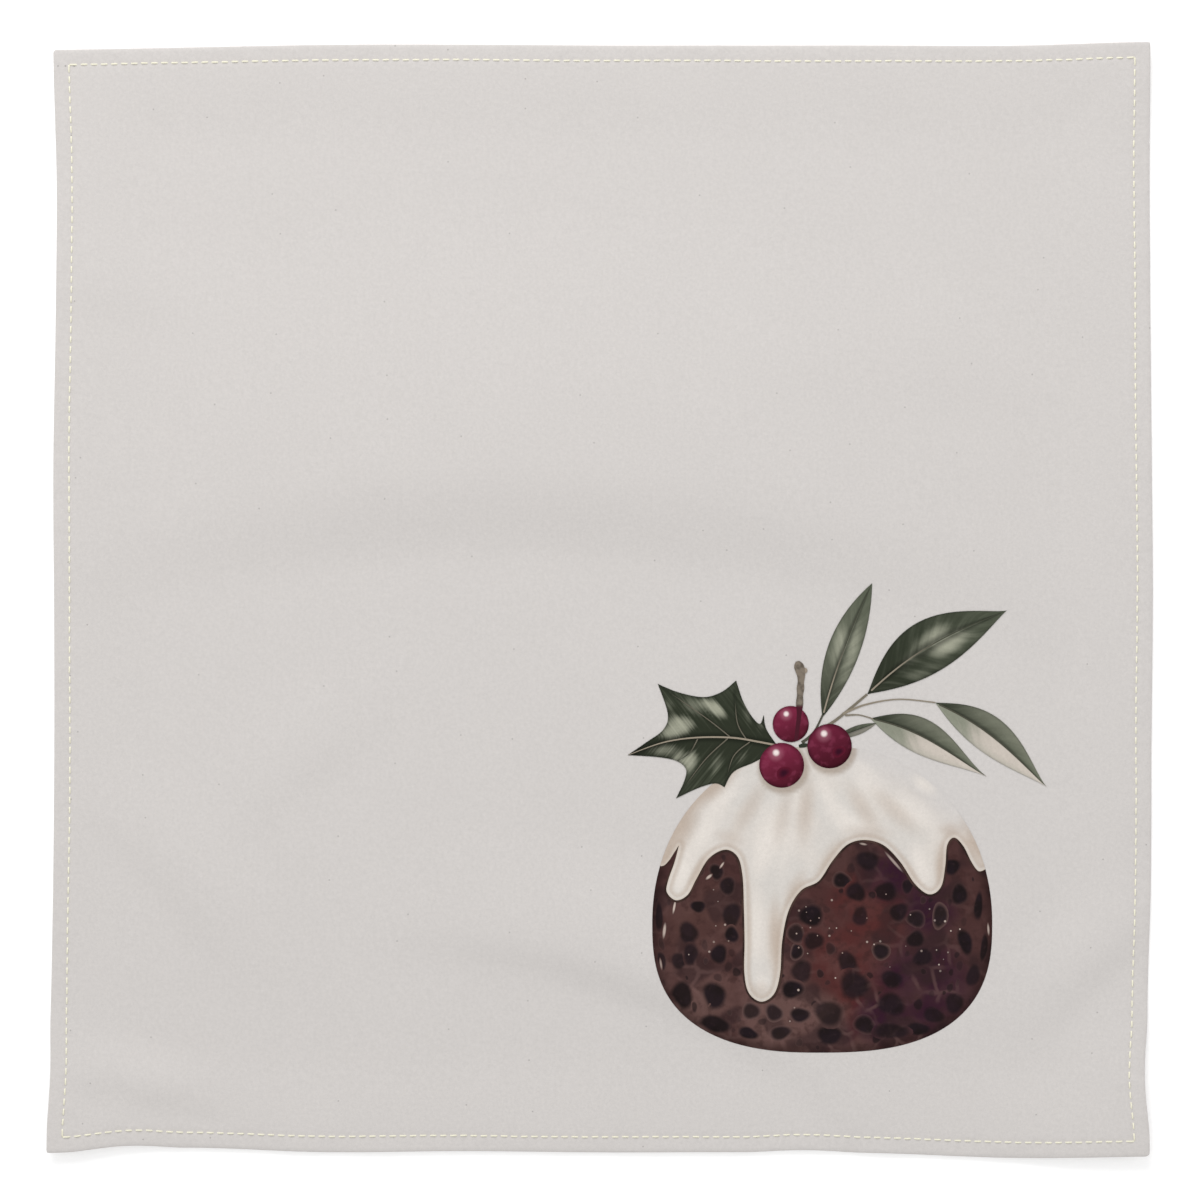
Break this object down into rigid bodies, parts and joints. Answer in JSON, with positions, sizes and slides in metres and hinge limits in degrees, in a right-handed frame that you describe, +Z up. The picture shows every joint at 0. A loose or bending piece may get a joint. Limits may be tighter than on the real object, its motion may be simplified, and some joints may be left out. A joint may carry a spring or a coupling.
{
  "type": "printed cloth napkin",
  "caption": "Square cloth table napkin with a stitched double-turned hem, lying flat, its lower corner printed with an iced fruit pudding, berries and holly.",
  "frame": {"origin": "under the middle of the napkin's outline, on the surface it lies on", "axes": "+Z up, out of the printed face; +X to the right and +Y to the top, as the print is read"},
  "size_m": [0.5122, 0.5168, 0.0071],
  "materials": {
    "cloth": "matte",
    "thread": "matte",
    "pudding_print": "matte",
    "icing_print": "matte",
    "berry_print": "matte",
    "leaf_print": "matte",
    "twig_print": "matte"
  },
  "bodies": {
    "root": {"cloth": "cloth", "hem_thread": "thread"}
  },
  "joints": []
}
